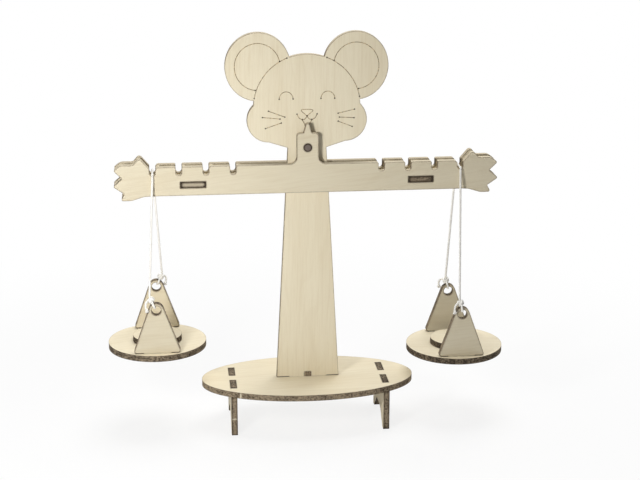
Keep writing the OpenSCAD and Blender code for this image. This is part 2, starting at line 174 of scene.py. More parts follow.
class PlywoodLook(PropertyGroup):
    """Colours and grain of the laser-cut sheet."""

    face: FloatVectorProperty(
        name="Face", description="Pale sanded face of the sheet", subtype="COLOR",
        size=3, min=0, max=1, default=(0.755, 0.68, 0.51))
    streak: FloatVectorProperty(
        name="Streak", description="Darker fibres and growth lines in the face", subtype="COLOR",
        size=3, min=0, max=1, default=(0.56, 0.45, 0.275))
    rim: FloatVectorProperty(
        name="Rim", description="Browned edge left by the cut", subtype="COLOR",
        size=3, min=0, max=1, default=(0.33, 0.26, 0.175))
    # Char also paints the shadows along the feet of plates, and with the soot the shade in slots round tab ends.
    char: FloatVectorProperty(
        name="Char", description="Darkest burn in the edge and along the glue lines", subtype="COLOR",
        size=3, min=0, max=1, default=(0.042, 0.03, 0.019))
    soot: FloatProperty(
        name="Soot width", description="Width of the brown line that the cut leaves on the face",
        subtype="DISTANCE", unit="LENGTH", min=0, default=0.00045)


class FaceLook(PropertyGroup):
    """The scorched drawing on the head."""

    line: FloatProperty(
        name="Line width", description="Width of a scorched line", subtype="DISTANCE", unit="LENGTH",
        min=0.0001, default=0.00034)
    dot: FloatProperty(
        name="Dot", description="Width of the darker spot where a line starts or stops",
        subtype="DISTANCE", unit="LENGTH", min=0.0001, default=0.0007)
    proud: FloatProperty(
        name="Height", description="How far the lines stand out of the wood", subtype="DISTANCE",
        unit="LENGTH", min=0, default=0.00003)
    scorch: FloatVectorProperty(
        name="Scorch", description="Colour of the lines", subtype="COLOR",
        size=3, min=0, max=1, default=(0.27, 0.205, 0.12))


class CordLook(PropertyGroup):
    """The twisted cotton cord of both pans."""

    thickness: FloatProperty(
        name="Thickness", description="Diameter of the cord", subtype="DISTANCE", unit="LENGTH",
        min=0.0003, default=0.0011)
    lay: FloatProperty(
        name="Lay", description="Length in which a strand turns once round the cord", subtype="DISTANCE",
        unit="LENGTH", min=0.001, default=0.0036)
    groove: FloatProperty(
        name="Groove", description="Depth of the groove between strands, as a share of the radius",
        subtype="FACTOR", min=0, max=0.5, default=0.2)
    turns: IntProperty(
        name="Turns", description="Turns of cord in a knot", min=1, max=4, default=3)
    cotton: FloatVectorProperty(
        name="Cotton", description="Colour of the bleached cotton", subtype="COLOR",
        size=3, min=0, max=1, default=(0.945, 0.925, 0.87))


class StageLook(PropertyGroup):
    """Camera, floor and lamps."""

    eye: FloatVectorProperty(
        name="Camera", description="Where the camera stands", subtype="TRANSLATION", unit="LENGTH",
        size=3, default=(-0.0681, -0.7052, 0.2976))
    aim: FloatVectorProperty(
        name="Aim", description="What the camera looks at", subtype="TRANSLATION", unit="LENGTH",
        size=3, default=(0.00639, 0, 0.09422))
    lens: FloatProperty(
        name="Lens", description="Focal length on a 36 mm sensor", unit="CAMERA", min=10, default=84.375)
    floor: FloatVectorProperty(
        name="Floor", description="Colour of the floor", subtype="COLOR",
        size=3, min=0, max=1, default=(0.85, 0.85, 0.85))
    key: FloatProperty(
        name="Key lamp", description="Power of the soft lamp at the left", unit="POWER", min=0, default=0.44)
    top: FloatProperty(
        name="Top lamp", description="Power of the wide lamp above", unit="POWER", min=0, default=5.6)
    back: FloatProperty(
        name="Back lamp", description="Power of the lamp behind", unit="POWER", min=0, default=1.6)
    sky: FloatProperty(
        name="Room light", description="Even light from all round", min=0, default=0.08)


# --------------------------------------------------------------------------------------------- node helpers


class Wires:
    """Adds nodes to a tree. An input that is given a socket is linked, and one that is given a value is set."""

    def __init__(self, tree):
        self.tree = tree

    def add(self, kind, inputs=None, **settings):
        made = self.tree.nodes.new(kind)
        for name, value in settings.items():
            setattr(made, name, value)
        for name, value in (inputs or {}).items():
            self.put(made.inputs[name], value)
        return made

    def put(self, socket, value):
        if isinstance(value, bpy.types.NodeSocket):
            self.tree.links.new(value, socket)
        else:
            socket.default_value = value

    def math(self, operation, *values, clamp=False):
        made = self.add("ShaderNodeMath", operation=operation, use_clamp=clamp)
        for socket, value in zip(made.inputs, values):
            self.put(socket, value)
        return made.outputs[0]

    def vector(self, operation, *values):
        made = self.add("ShaderNodeVectorMath", operation=operation)
        for socket, value in zip(made.inputs, values):
            self.put(socket, value)
        return made.outputs["Value" if operation == "LENGTH" else "Vector"]

    def parts(self, vector):
        return self.add("ShaderNodeSeparateXYZ", {0: vector}).outputs

    def weighted(self, *terms, start=0.0, clamp=False):
        """The sum of the terms, each a value and its weight, kept between 0 and 1 if asked."""
        for value, weight in terms[:-1]:
            start = self.math("MULTIPLY_ADD", value, weight, start)
        return self.math("MULTIPLY_ADD", *terms[-1], start, clamp=clamp)

    def smooth(self, value, low, high, start=0.0, end=1.0):
        made = self.add(
            "ShaderNodeMapRange",
            {"Value": value, "From Min": low, "From Max": high, "To Min": start, "To Max": end},
            interpolation_type="SMOOTHSTEP")
        return made.outputs["Result"]

    def noise(self, place, stretch, detail=2.0, roughness=0.5, distortion=0.0):
        stretched = self.vector("MULTIPLY", place, stretch)
        made = self.add(
            "ShaderNodeTexNoise",
            {"Vector": stretched, "Scale": 1.0, "Detail": detail, "Roughness": roughness,
             "Distortion": distortion})
        return made.outputs["Fac"]

    def mix(self, share, first, second):
        """A mix of two colours."""
        made = self.add("ShaderNodeMix", {0: share, 6: first, 7: second}, data_type="RGBA")
        return made.outputs[2]

    def blend(self, share, first, second):
        """A mix of two numbers."""
        return self.add("ShaderNodeMix", {0: share, 2: first, 3: second}, data_type="FLOAT").outputs[0]

    def bump(self, height, strength, distance):
        made = self.add("ShaderNodeBump", {"Strength": strength, "Distance": distance, "Height": height})
        return made.outputs["Normal"]

    def attribute(self, name, output="Fac"):
        return self.add("ShaderNodeAttribute", attribute_name=name).outputs[output]

    def seen(self):
        """1 for the rays that look at the stage, and 0 for those that light the toy."""
        ray = self.add("ShaderNodeLightPath").outputs
        mirrored = self.math("MAXIMUM", ray["Is Glossy Ray"], ray["Is Transmission Ray"])
        return self.math("MAXIMUM", ray["Is Camera Ray"], mirrored)

    def stored(self, geometry, name, value, kind="FLOAT"):
        made = self.add("GeometryNodeStoreNamedAttribute", data_type=kind, domain="POINT")
        for socket_name, given in (("Geometry", geometry), ("Name", name), ("Value", value)):
            self.put(made.inputs[socket_name], given)
        return made.outputs["Geometry"]

    def end(self, geometry, material):
        """Ends a geometry tree in plain geometry with its material."""
        plain = self.add("GeometryNodeRealizeInstances", {"Geometry": geometry})
        dressed = self.add(
            "GeometryNodeSetMaterial", {"Geometry": plain.outputs["Geometry"], "Material": material})
        self.add("NodeGroupOutput", {"Geometry": dressed.outputs["Geometry"]})


def socket(tree, name, kind, side="INPUT", value=None):
    made = tree.interface.new_socket(name=name, in_out=side, socket_type="NodeSocket" + kind)
    if value is not None:
        made.default_value = value


def colour(value):
    return (*value, 1.0)


def new_material(name):
    material = bpy.data.materials.new(name)
    material.use_nodes = True
    material.node_tree.nodes.clear()
    wires = Wires(material.node_tree)
    output = wires.add("ShaderNodeOutputMaterial")
    shader = wires.add("ShaderNodeBsdfPrincipled")
    wires.put(output.inputs["Surface"], shader.outputs["BSDF"])
    return material, wires, shader


def dress(wires, shader, tint, rough, normal, shine):
    """Sets what every material has: its colour, roughness, relief and how strongly it shines."""
    inputs = {"Base Color": tint, "Roughness": rough, "Normal": normal, "Specular IOR Level": shine}
    for name, value in inputs.items():
        wires.put(shader.inputs[name], value)


# ------------------------------------------------------------------------------------------------- materials


def sheet_group():
    """Plywood in a sheet's own place, in millimetres: x along the grain, y across it, z through the plies."""
    tree = bpy.data.node_groups.new("Laser-cut plywood", "ShaderNodeTree")
    socket(tree, "Place", "Vector")
    socket(tree, "Facing", "Vector")
    socket(tree, "Nick", "Vector", value=NO_NICK)
    for name in ("Face", "Streak", "Rim", "Char"):
        socket(tree, name, "Color")
    for name in ("Soot width", "Face soot", "Rim soot", "Burn", "Glue"):
        socket(tree, name, "Float")
    socket(tree, "Colour", "Color", "OUTPUT")
    socket(tree, "Roughness", "Float", "OUTPUT")
    socket(tree, "Normal", "Vector", "OUTPUT")
    wires = Wires(tree)
    given = wires.add("NodeGroupInput").outputs
    place = given["Place"]
    _, across, through = wires.parts(place)

    # The pale face: fibres, broad tone, growth lines and short pores.
    fibre = wires.smooth(wires.noise(place, (0.06, 1.5, 0.4), 5, 0.65), 0.38, 0.72)
    tone = wires.noise(place, (0.014, 0.075, 0.05), 2, 0.5, 0.4)
    drift = wires.noise(place, (0.011, 0.035, 0.03), 2)
    wander = wires.math("MULTIPLY_ADD", drift, 46.0, wires.math("MULTIPLY", across, 1.15))
    ring = wires.smooth(wires.math("SINE", wander), 0.55, 1.0)
    pore = wires.smooth(wires.noise(place, (0.42, 5.0, 1.0), 1), 0.66, 0.78)
    grain = wires.weighted((fibre, 0.2), (wires.smooth(tone, 0.32, 0.72), 0.16), (ring, 0.06), (pore, 0.16))
    face = wires.mix(grain, given["Face"], given["Streak"])

    # The browned rim: streaks of the cut, patches of deeper burn, three plies and their glue lines.
    cut = wires.noise(place, (1.7, 1.7, 0.1), 4, 0.65)
    patch = wires.noise(place, (0.16, 0.16, 0.2), 2)
    speck = wires.noise(place, (1.0, 1.0, 1.5), 3, 0.55)
    depth = wires.math("ABSOLUTE", through)
    off_glue = wires.math("ABSOLUTE", wires.math("SUBTRACT", depth, GLUE_DEPTH))
    glue = wires.smooth(off_glue, 0.02, 0.16, 1.0, 0.0)
    core = wires.smooth(depth, 0.45, 0.6, 0.14, 0.0)
    brink = wires.smooth(depth, 1.0, 1.5)
    level = wires.math("SUBTRACT", given["Burn"], BURN_OFFSET)
    burn_and_shade = wires.weighted(
        (wires.smooth(cut, 0.38, 0.64), 0.3), (wires.smooth(patch, 0.35, 0.68), 0.35),
        (wires.smooth(speck, 0.42, 0.6), 0.62), (glue, given["Glue"]), (brink, 0.35),
        start=wires.math("ADD", level, core), clamp=True)
    barely = wires.mix(wires.math("MULTIPLY", given["Burn"], -1.0, clamp=True), given["Rim"], given["Face"])
    rim = wires.mix(burn_and_shade, barely, given["Char"])
    off_nick = wires.vector("MULTIPLY", wires.vector("SUBTRACT", place, given["Nick"]), (1.0, 1.0, 0.25))
    near_nick = wires.smooth(wires.vector("LENGTH", off_nick), 0.2, 0.55, 0.8, 0.0)
    rim = wires.mix(near_nick, rim, given["Face"])

    # The face shows where the surface looks out of the sheet, with a thin line of soot along the cut, which on
    # some plates also paints the shade of a slot or a joint beside it.
    is_face = wires.smooth(wires.math("ABSOLUTE", wires.parts(given["Facing"])[2]), 0.45, 0.75)
    inner = wires.add(
        "ShaderNodeAmbientOcclusion", {"Distance": given["Soot width"]},
        samples=6, inside=True, only_local=True)
    near_cut = wires.smooth(inner.outputs["AO"], 0.68, 0.9, 1.0, 0.0)
    near_cut = wires.math("MULTIPLY", near_cut, wires.smooth(patch, 0.25, 0.75, 0.6, 1.0))
    deep = wires.mix(wires.math("SUBTRACT", given["Face soot"], 0.6), given["Rim"], given["Char"])
    sooted_and_shaded = wires.mix(wires.math("MULTIPLY", near_cut, given["Face soot"]), face, deep)
    rim = wires.mix(wires.math("MULTIPLY", near_cut, given["Rim soot"]), rim, given["Char"])
    shown = wires.mix(is_face, rim, sooted_and_shaded)

    rough = wires.blend(is_face, 0.86, wires.smooth(fibre, 0.0, 1.0, 0.58, 0.7))
    face_relief = wires.math("MULTIPLY", wires.math("ADD", fibre, pore), -0.6)
    height = wires.blend(is_face, wires.math("MULTIPLY", cut, -3.0), face_relief)
    wires.add(
        "NodeGroupOutput", {"Colour": shown, "Roughness": rough, "Normal": wires.bump(height, 0.35, 0.06 * MM)})
    return tree


def sheet_turn(along, across, degrees):
    """The turn that brings a plate's grain to x and its thickness to z."""
    axes = {"X": Vector((1, 0, 0)), "Y": Vector((0, 1, 0)), "Z": Vector((0, 0, 1))}
    u, v = axes[along], axes[across]
    angle = math.radians(degrees)
    lengthwise = u * math.cos(angle) + v * math.sin(angle)
    crosswise = v * math.cos(angle) - u * math.sin(angle)
    return Matrix((lengthwise, crosswise, lengthwise.cross(crosswise)))


def plywood(name, group, look, order):
    """The plywood of one plate, its grain turned to the plate and its plies centred in its thickness."""
    material, wires, shader = new_material("Plywood " + name.replace("_", " "))
    low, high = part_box(name)
    turn = sheet_turn(*SHEETS[name])
    middle = turn @ ((low + high) / 2) / MM
    shift = Vector((*SHEET_STEP, 0)) * order - middle
    place = wires.add("ShaderNodeTexCoord").outputs
    turned = wires.add("ShaderNodeMapping", {"Vector": place["Object"]}, vector_type="POINT")
    turned.inputs["Location"].default_value = shift
    turned.inputs["Rotation"].default_value = turn.to_euler()
    turned.inputs["Scale"].default_value = (1 / MM,) * 3
    facing = wires.add("ShaderNodeMapping", {"Vector": place["Normal"]}, vector_type="VECTOR")
    facing.inputs["Rotation"].default_value = turn.to_euler()
    # On some plates the tone carries painted light and shade.
    tone = TONES_AND_PAINTED_LIGHT.get(name, 1.0)
    width, on_face, on_rim = SOOTS_AND_SHADE.get(name, (look.soot / MM, *USUAL_SOOT))
    burn_and_shade = BURNS_AND_SHADE.get(name, USUAL_BURN)
    # Upward rims: painted shade on the ends of the leg tabs in their slots, paler rims on the head and the beam.
    if name in UPWARD_RIM_BURN_AND_SHADE:
        upward = wires.smooth(wires.parts(place["Normal"])[2], 0.3, 0.75)
        burn_and_shade = wires.math("MULTIPLY_ADD", upward, UPWARD_RIM_BURN_AND_SHADE[name], burn_and_shade)
    sheet = wires.add("ShaderNodeGroup", {
        "Place": turned.outputs["Vector"], "Facing": facing.outputs["Vector"],
        "Face": colour([c * tone for c in look.face]), "Streak": colour([c * tone for c in look.streak]),
        "Rim": colour(look.rim), "Char": colour(look.char),
        "Soot width": width * MM, "Face soot": on_face, "Rim soot": on_rim,
        "Burn": burn_and_shade, "Glue": GLUES.get(name, USUAL_GLUE)}, node_tree=group)
    if name in NICKS:
        wires.put(sheet.inputs["Nick"], turn @ Vector(NICKS[name]) + shift)
    shown = sheet.outputs["Colour"]
    # A painted shadow along the foot, where the plate stands on the one below, in the char colour.
    if name in FOOT_SHADOWS:
        below, half = FOOT_SHADOWS[name]
        x, _, z = wires.parts(place["Object"])
        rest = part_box(below)[1].z
        close = wires.smooth(z, rest + 0.2 * MM, rest + 0.6 * MM, 0.95, 0.0)
        off = wires.math("ABSOLUTE", wires.math("SUBTRACT", x, (low.x + high.x) / 2))
        line = wires.math("MULTIPLY", close, wires.smooth(off, half * MM, (half + 0.4) * MM))
        shown = wires.mix(line, shown, colour(look.char))
    dress(wires, shader, shown, sheet.outputs["Roughness"], sheet.outputs["Normal"], 0.25)
    return material


def dowel(name, middle):
    """Dark end grain of the pin: growth rings, pores, and darker towards its rim."""
    material, wires, shader = new_material(name)
    place = wires.add("ShaderNodeTexCoord").outputs["Object"]
    centred = wires.add("ShaderNodeMapping", {"Vector": place}, vector_type="POINT")
    centred.inputs["Location"].default_value = -Vector(middle) / MM
    centred.inputs["Scale"].default_value = (1 / MM,) * 3
    spot = centred.outputs["Vector"]
    # The rings lie round a pith beside the pin, which runs from front to back.
    to_axis = wires.vector("MULTIPLY", spot, (1, 0, 1))
    to_pith = wires.vector("ADD", to_axis, (3.2, 0, 0))
    wobble = wires.weighted((wires.noise(spot, (0.9, 0.3, 0.9), 2), 1.6), start=wires.vector("LENGTH", to_pith))
    line = wires.smooth(wires.math("SINE", wires.math("MULTIPLY", wobble, 9.0)), 0.1, 1.0)
    pore = wires.smooth(wires.noise(spot, (5, 0.8, 5), 1), 0.6, 0.72)
    brink = wires.smooth(wires.vector("LENGTH", to_axis), 1.2, 1.9)
    dark = wires.weighted((line, 0.3), (pore, 0.4), (brink, 1.0), clamp=True)
    tint = wires.mix(dark, colour((0.17, 0.135, 0.115)), colour((0.05, 0.036, 0.024)))
    relief = wires.bump(wires.math("MULTIPLY", dark, -1.0), 0.3, 0.08 * MM)
    dress(wires, shader, tint, wires.smooth(dark, 0.0, 1.0, 0.6, 0.85), relief, 0.2)
    return material


def scorched(name, look):
    """A thin line burnt into the face, uneven in depth."""
    material, wires, shader = new_material(name)
    place = wires.add("ShaderNodeTexCoord").outputs["Object"]
    uneven = wires.noise(place, (800, 800, 800), 3, 0.6)
    pale = tuple(min(1, c * 2.2) for c in look.scorch)
    dark = tuple(c * 0.22 for c in look.scorch)
    line = wires.mix(wires.smooth(uneven, 0.46, 0.6), colour(look.scorch), colour(pale))
    tint = wires.mix(wires.attribute("dwell"), line, colour(dark))
    rough = wires.smooth(uneven, 0.3, 0.7, 0.75, 0.9)
    dress(wires, shader, tint, rough, wires.bump(uneven, 0.3, 0.04 * MM), 0.15)
    return material


def cotton(name, look):
    """Bleached cotton: fibres that run along the strands, painted shade in the hollows between these, and a little
    soil.
    """
    material, wires, shader = new_material(name)
    # The fibres turn back against the strands, by six tenths of a turn in each lay.
    lays = wires.math("DIVIDE", wires.attribute("run"), look.lay)
    back = wires.math("MULTIPLY", lays, -0.6 * 2 * math.pi)
    turned = wires.add(
        "ShaderNodeVectorRotate", {"Vector": wires.attribute("around", "Vector"), "Angle": back},
        rotation_type="Z_AXIS")
    along = wires.add("ShaderNodeCombineXYZ", {"Z": lays}).outputs[0]
    fibre = wires.noise(wires.vector("ADD", turned.outputs["Vector"], along), (2.8, 2.8, 1.6), 4, 0.7)
    soil = wires.noise(wires.add("ShaderNodeTexCoord").outputs["Object"], (160, 160, 160), 2)
    # The cotton darkens with its fibres and its soil, and with painted shade in the hollows between strands.
    share = wires.weighted(
        (wires.smooth(fibre, 0.42, 0.7), 0.3), (wires.smooth(soil, 0.4, 0.75), 0.12),
        (wires.smooth(wires.attribute("hollow"), 0.3, 1.0), 0.4), clamp=True)
    tint = wires.mix(share, colour(look.cotton), colour([c * 0.84 for c in look.cotton]))
    rough = wires.smooth(fibre, 0.3, 0.7, 0.8, 0.95)
    dress(wires, shader, tint, rough, wires.bump(fibre, 0.6, 0.08 * MM), 0.15)
    shader.inputs["Sheen Weight"].default_value = 0.25
    shader.inputs["Sheen Roughness"].default_value = 0.5
    return material


# --------------------------------------------------------------------------------------------- geometry trees


def twisted_cord_tree():
    """A cord of three strands twisted along each line, with closed ends."""
    tree = bpy.data.node_groups.new("Twisted cord", "GeometryNodeTree")
    socket(tree, "Geometry", "Geometry", "OUTPUT")
    socket(tree, "Lines", "Geometry")
    socket(tree, "Thickness", "Float", value=0.001)
    socket(tree, "Lay", "Float", value=0.003)
    socket(tree, "Groove", "Float", value=0.2)
    socket(tree, "Material", "Material")
    wires = Wires(tree)
    given = wires.add("NodeGroupInput").outputs

    radius = wires.math("MULTIPLY", given["Thickness"], 0.5)
    ring = wires.add("GeometryNodeCurvePrimitiveCircle", {"Resolution": 18, "Radius": radius}, mode="RADIUS")
    spot = wires.add("GeometryNodeInputPosition").outputs[0]
    x, y, _ = wires.parts(spot)
    angle = wires.math("ARCTAN2", y, x)
    lobe = wires.math("ABSOLUTE", wires.math("COSINE", wires.math("MULTIPLY", angle, 1.5)))
    hollow = wires.math("SUBTRACT", 1.0, lobe)
    reach = wires.math("MULTIPLY_ADD", hollow, wires.math("MULTIPLY", given["Groove"], -1.0), 1.0)
    shaped = wires.add("ShaderNodeVectorMath", {0: spot, "Scale": reach}, operation="SCALE")
    marked = wires.stored(ring.outputs["Curve"], "around", wires.vector("NORMALIZE", spot), "FLOAT_VECTOR")
    # Where the hollows between strands lie, kept for the painted shade in the cotton.
    marked = wires.stored(marked, "hollow", hollow)
    lobed = wires.add("GeometryNodeSetPosition", {"Geometry": marked, "Position": shaped.outputs["Vector"]})

    run = wires.add("GeometryNodeSplineParameter").outputs["Length"]
    tilt = wires.math("MULTIPLY", wires.math("DIVIDE", run, given["Lay"]), 2 * math.pi)
    twisted = wires.add("GeometryNodeSetCurveTilt", {"Curve": given["Lines"], "Tilt": tilt})
    skin = wires.add(
        "GeometryNodeCurveToMesh",
        {"Curve": wires.stored(twisted.outputs["Curve"], "run", run), "Profile Curve": lobed.outputs["Geometry"],
         "Fill Caps": True})
    soft = wires.add("GeometryNodeSetShadeSmooth", {"Geometry": skin.outputs["Mesh"]})
    wires.end(soft.outputs["Geometry"], given["Material"])
    return tree


def scorched_lines_tree():
    """Flat bars along lines drawn in the XY plane, with a round spot at each end, stood up to face the front."""
    tree = bpy.data.node_groups.new("Scorched lines", "GeometryNodeTree")
    socket(tree, "Geometry", "Geometry", "OUTPUT")
    socket(tree, "Lines", "Geometry")
    socket(tree, "Line width", "Float", value=0.0003)
    socket(tree, "Spot width", "Float", value=0.0005)
    socket(tree, "Height", "Float", value=0.00003)
    socket(tree, "Face place", "Vector")
    socket(tree, "Material", "Material")
    wires = Wires(tree)
    given = wires.add("NodeGroupInput").outputs

    even = wires.add("GeometryNodeResampleCurve", {"Curve": given["Lines"], "Length": 0.0002}, mode="LENGTH")
    level = wires.add("GeometryNodeSetCurveNormal", {"Curve": even.outputs["Curve"]}, mode="Z_UP")
    run = wires.add("GeometryNodeSplineParameter").outputs["Length"]
    whole = wires.add("GeometryNodeSplineLength").outputs["Length"]
    to_end = wires.math("MINIMUM", run, wires.math("SUBTRACT", whole, run))
    dwell = wires.smooth(to_end, 0.0, 0.0009, 0.7, 0.0)
    level = wires.stored(level.outputs["Curve"], "dwell", dwell)
    thick = wires.math("MULTIPLY", given["Height"], 2.0)
    bar = wires.add(
        "GeometryNodeCurvePrimitiveQuadrilateral", {"Width": given["Line width"], "Height": thick},
        mode="RECTANGLE")
    ribbon = wires.add(
        "GeometryNodeCurveToMesh", {"Curve": level, "Profile Curve": bar.outputs["Curve"], "Fill Caps": True})
    ends = wires.add("GeometryNodeCurveEndpointSelection").outputs["Selection"]
    radius = wires.math("MULTIPLY", given["Spot width"], 0.5)
    depth = wires.math("MULTIPLY", thick, 1.3)
    spot = wires.add("GeometryNodeMeshCylinder", {"Vertices": 14, "Radius": radius, "Depth": depth})
    spots = wires.add(
        "GeometryNodeInstanceOnPoints",
        {"Points": even.outputs["Curve"], "Selection": ends,
         "Instance": wires.stored(spot.outputs["Mesh"], "dwell", 1.0)})
    joined = wires.add("GeometryNodeJoinGeometry")
    for part in (ribbon.outputs["Mesh"], spots.outputs["Instances"]):
        tree.links.new(part, joined.inputs["Geometry"])
    stood = wires.add("GeometryNodeTransform", {
        "Geometry": joined.outputs["Geometry"], "Translation": given["Face place"],
        "Rotation": (math.pi / 2, 0, 0)})
    wires.end(stood.outputs["Geometry"], given["Material"])
    return tree


def grown(name, tree, lines, **sizes):
    """A plain mesh that a geometry tree grows from lines, each a list of (point, radius), at the origin."""
    drawn = bpy.data.curves.new(name + "_lines", "CURVE")
    drawn.dimensions = "3D"
    for line in lines:
        spline = drawn.splines.new("POLY")
        spline.points.add(len(line) - 1)
        for point, (place, radius) in zip(spline.points, line):
            point.co = (*place, 1.0)
            point.radius = radius
    guide = bpy.data.objects.new(name + "_lines", drawn)
    bpy.context.scene.collection.objects.link(guide)
    grow = guide.modifiers.new(tree.name, "NODES")
    grow.node_group = tree
    for item in tree.interface.items_tree:
        if item.in_out == "INPUT" and item.name in sizes:
            grow[item.identifier] = sizes[item.name]
    ready = bpy.context.evaluated_depsgraph_get()
    mesh = bpy.data.meshes.new_from_object(guide.evaluated_get(ready), depsgraph=ready)
    guide.modifiers.remove(grow)
    bpy.data.objects.remove(guide)
    bpy.data.curves.remove(drawn)
    if not mesh.polygons:
        raise RuntimeError(f"{name}: the geometry tree gave no faces")
    mesh.name = name
    piece = bpy.data.objects.new(name, mesh)
    bpy.context.scene.collection.objects.link(piece)
    return piece


# ------------------------------------------------------------------------------------------------ cord routes


def smooth_line(points, step):
    """A smooth line through the points, sampled about every step."""
    line = []
    ends = [points[0] * 2 - points[1], *points, points[-1] * 2 - points[-2]]
    for a, b, c, d in zip(ends, ends[1:], ends[2:], ends[3:]):
        count = max(1, round((c - b).length / step))
        for i in range(count):
            t = i / count
            line.append(0.5 * (
                2 * b + (c - a) * t + (2 * a - 5 * b + 4 * c - d) * t * t + (3 * b - a - 3 * c + d) * t ** 3))
    line.append(points[-1])
    return line


def leaned(point, lean):
    """A point of the tie, turned about the hole towards the side that the strand leans to."""
    x, y, z = point
    if lean < 0:
        x = -x
    angle = math.radians(lean)
    return Vector((
        x * math.cos(angle) + z * math.sin(angle), y, z * math.cos(angle) - x * math.sin(angle)))


def side_sizes(side):
    """Where a pan hangs, in millimetres: its middle, the height of its holes, and the beam's notch."""
    low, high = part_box(side + "_pan_disc")
    near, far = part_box(side + "_front_hanger")
    beam_low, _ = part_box("front_beam_panel")
    _, beam_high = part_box("rear_beam_panel")
    swing = next(j for j in frame["joints"] if j["name"] == side + "_pan_swing")
    return {
        "x": (low.x + high.x) / 2 / MM,
        "hole_z": high.z / MM + HOLE_UP,
        "hanger_y": -(near.y + far.y) / 2 / MM,
        "beam_half": (beam_high.y - beam_low.y) / 2 / MM,
        "notch_z": swing["pos_m"][2] / MM - EDGE_ROUTE[-1][2],
    }


def half_route(size, outward, lean):
    """From the tail at a hanger up the strand to the edge of the beam."""
    tie = []
    for point in TIE_ROUTE:
        q = leaned(point, lean)
        tie.append(Vector((size["x"] + q.x, outward * (size["hanger_y"] + q.y), size["hole_z"] + q.z)))
    edge = [
        Vector((size["x"] + x, outward * (size["beam_half"] + y), size["notch_z"] + z)) for x, y, z in EDGE_ROUTE]
    strand = [tie[-1].lerp(edge[0], i / 16) for i in range(1, 16)]
    return tie + strand + edge


def cord_route(side):
    """The whole cord of a pan, tail to tail, as points in metres."""
    size = side_sizes(side)
    front, rear = LEANS[side]
    middle = Vector((size["x"], 0, size["notch_z"] + EDGE_ROUTE[-1][2]))
    points = half_route(size, -1, front) + [middle] + half_route(size, 1, rear)[::-1]
    return [p * MM for p in smooth_line(points, 0.26)]


def knot_lines(side, outward, lean, turns):
    """Wound turns of a knot with one strand laid across them, and the short fibres of the cut tail."""
    size = side_sizes(side)
    hole = Vector((size["x"], outward * size["hanger_y"], size["hole_z"]))
    tilt = Matrix.Rotation(math.radians(lean), 3, "Y")
    bend = -1 if lean < 0 else 1

    def spot(radius, degrees, up):
        a = math.radians(degrees)
        local = Vector((bend * radius * math.cos(a), outward * radius * math.sin(a), KNOT_UP + up))
        return (hole + tilt @ local) * MM

    # The turns start and end tucked in at the cord.
    wound = []
    last, tucked = 360 * turns, 50
    for degrees in range(0, last + 1, 15):
        out = min(1, degrees / tucked, (last - degrees) / tucked)
        wound.append((spot(0.35 + 0.85 * out, 200 + degrees, 1.9 * (degrees / last - 0.5)), 1.0))
    # The strand laid across goes from below the turns to above them.
    laid, steps = [], 12
    for i in range(steps + 1):
        share = i / steps
        rise = math.sin(math.pi * share)
        up = 1.5 * (2 * share - 1) * (1 - 0.15 * rise)
        laid.append((spot(0.7 + 0.85 * rise, 20 + 120 * share, up), 1.0))
    # The fibres stand round the end of the tail and spread out.
    tail = leaned(TIE_ROUTE[0], lean)
    after = leaned(TIE_ROUTE[1], lean)
    end = hole + Vector((tail.x, outward * tail.y, tail.z))
    heading = Vector((tail.x - after.x, outward * (tail.y - after.y), tail.z - after.z)).normalized()
    beside = heading.cross(Vector((0, outward, 0))).normalized()
    above = heading.cross(beside)
    lines = [wound, laid]
    for i in range(9):
        a = i * 2.4
        off = (beside * math.cos(a) + above * math.sin(a)) * (0.1 + 0.035 * i)
        reach = 0.75 + 0.4 * math.sin(i * 1.7)
        fibre = (
            (end + off * 0.8 - heading * 0.4, 0.26),
            (end + off + heading * reach * 0.5, 0.22),
            (end + off * 1.9 + heading * reach, 0.12))
        lines.append([(point * MM, radius) for point, radius in fibre])
    return lines


# ------------------------------------------------------------------------------------------------ face strokes


def arc(middle, radii, start, stop, steps=28):
    """Points of an ellipse's arc, in degrees."""
    points = []
    for i in range(steps + 1):
        a = math.radians(start + (stop - start) * i / steps)
        points.append((middle[0] + radii[0] * math.cos(a), middle[1] + radii[1] * math.sin(a)))
    return points


def curved(points, step=0.25):
    """A smooth stroke through a few points."""
    return [(p.x, p.y) for p in smooth_line([Vector((x, y, 0)) for x, y in points], step)]


def face_strokes():
    """The drawing on the head, in millimetres above the base: ears, eyes, nose, mouth and whiskers."""
    strokes = []
    for side in (-1, 1):
        def flip(points, side=side):
            return [(side * x, z) for x, z in points]
        strokes += [
            flip(arc((23.6, 157), (10.9, 11.2), 167, -84)),
            flip(arc((0, 137.2), (25.7, 25.7), 68.3, 10.7)),
            flip(arc((10, 141.4), (3.3, 3.5), 180, 0, 18)),
            flip(curved([(0, 133.1), (0.8, 131.8), (2.35, 131.35), (3.9, 132.2), (4.85, 134)])),
            flip([(2.35, 131.35), (0.9, 128.5)]),
        ]
    strokes.append(curved([
        (0, 133.1), (-1.3, 134.2), (-2.7, 135.5), (-2.45, 136.1), (0, 136.25), (2.45, 136.1), (2.7, 135.5),
        (1.3, 134.2), (0, 133.1)]))
    strokes += [
        [(-18.5, 135.7), (-10.7, 132.7)], [(-21.4, 132.7), (-13, 131.8)], [(-20, 127.3), (-12.4, 129.85)],
        [(15, 134.1), (22.9, 135.9)], [(15.6, 132.2), (22.7, 131.75)], [(15, 130.2), (21.8, 127.5)],
    ]
    return [[(Vector((x * MM, z * MM, 0)), 1.0) for x, z in stroke] for stroke in strokes]


# -------------------------------------------------------------------------------------------------- operators


